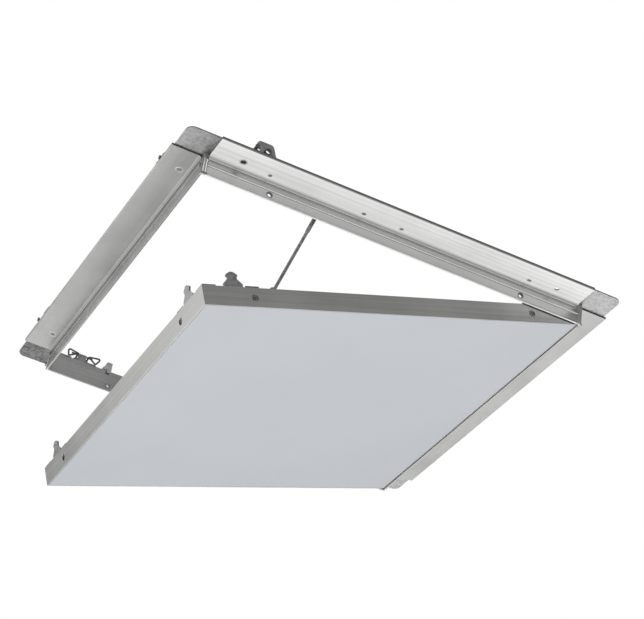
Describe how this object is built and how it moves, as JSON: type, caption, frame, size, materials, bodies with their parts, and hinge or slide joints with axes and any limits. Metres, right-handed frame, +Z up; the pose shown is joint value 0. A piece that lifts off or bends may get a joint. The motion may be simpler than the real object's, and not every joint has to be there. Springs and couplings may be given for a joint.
{
  "type": "ceiling access panel",
  "caption": "Square ceiling access panel: flanged metal frame, plaster board flap that hangs open on a wire stay, and snap latches.",
  "frame": {"origin": "middle of the opening, on the plane where the flanges rest on the ceiling board and the flange screws enter", "axes": "+Z up, away from the room; -Y is the side with the stay, +X is the hinge side, so the free edge of the flap hangs at -X"},
  "size_m": [0.3478, 0.3478, 0.1289],
  "materials": {
    "rail_metal": "drawn and brushed lengthwise",
    "rim_metal": "drawn and brushed lengthwise",
    "gusset_steel": "galvanised, softly mottled",
    "latch_steel": "zinc plated, dull",
    "spring_wire": "drawn wire, dark",
    "rivet_metal": "bright, turned",
    "hinge_steel": "zinc plated, dull",
    "stay_steel": "drawn wire, dull",
    "board_face": "matt white coated paper face on plaster"
  },
  "bodies": {
    "frame": {"near_rail": "rail_metal", "far_rail": "rail_metal", "latch_rail": "rail_metal", "hinge_rail": "rail_metal", "near_latch_gusset": "gusset_steel", "near_hinge_gusset": "gusset_steel", "far_hinge_gusset": "gusset_steel", "far_latch_gusset": "gusset_steel", "near_latch_post": "rail_metal", "near_hinge_post": "rail_metal", "far_hinge_post": "rail_metal", "far_latch_post": "rail_metal", "near_latch_bracket": "latch_steel", "far_latch_bracket": "latch_steel", "side_far_latch_bracket": "latch_steel", "side_near_latch_bracket": "latch_steel", "near_latch_spring": "spring_wire", "far_latch_spring": "spring_wire", "side_far_latch_spring": "spring_wire", "side_near_latch_spring": "spring_wire", "latch_rivets": "rivet_metal", "near_flap_stops": "latch_steel", "far_flap_stops": "latch_steel", "stop_rivets": "rivet_metal", "near_hinge_bracket": "hinge_steel", "far_hinge_bracket": "hinge_steel", "hinge_rivets": "rivet_metal", "stay_guide": "latch_steel", "guide_rivets": "rivet_metal"},
    "flap": {"near_rim": "rim_metal", "hinge_rim": "rim_metal", "far_rim": "rim_metal", "latch_rim": "rim_metal", "plaster_board": "board_face", "near_board_clips": "latch_steel", "hinge_board_clips": "latch_steel", "far_board_clips": "latch_steel", "latch_board_clips": "latch_steel", "board_edge_screws": "hinge_steel", "rim_cleats": "gusset_steel", "cleat_rivets": "rivet_metal", "near_catch": "latch_steel", "far_catch": "latch_steel", "side_far_catch": "latch_steel", "side_near_catch": "latch_steel", "catch_rivets": "rivet_metal", "near_hinge_pin": "hinge_steel", "far_hinge_pin": "hinge_steel", "stay_bracket": "hinge_steel", "stay_bracket_rivet": "rivet_metal"},
    "stay": {"stay_rod": "stay_steel", "stay_head": "stay_steel"},
    "slider": {"stay_slider": "hinge_steel"}
  },
  "joints": [
    {"name": "flap_hinge", "type": "hinge", "parent": "frame", "child": "flap", "pos_m": [0.1466, 0, -0.0118], "axis": [0, -1, 0], "range_deg": [-19.6, 0], "deforming": ["near_latch_spring", "far_latch_spring", "side_far_latch_spring", "side_near_latch_spring"]},
    {"name": "stay_pivot", "type": "hinge", "parent": "flap", "child": "stay", "pos_m": [-0.08287, -0.1447, -0.08014], "axis": [0, -1, 0], "range_deg": [-50.8, 0]},
    {"name": "slider_slide", "type": "slide", "parent": "frame", "child": "slider", "axis": [1, 0, 0], "range_m": [0, 0.0535]}
  ],
  "couplings": [
    {"joint": "stay_pivot", "follows": "flap_hinge", "ratio": 2.5892},
    {"joint": "slider_slide", "follows": "flap_hinge", "m_per_rad": -0.15631}
  ]
}
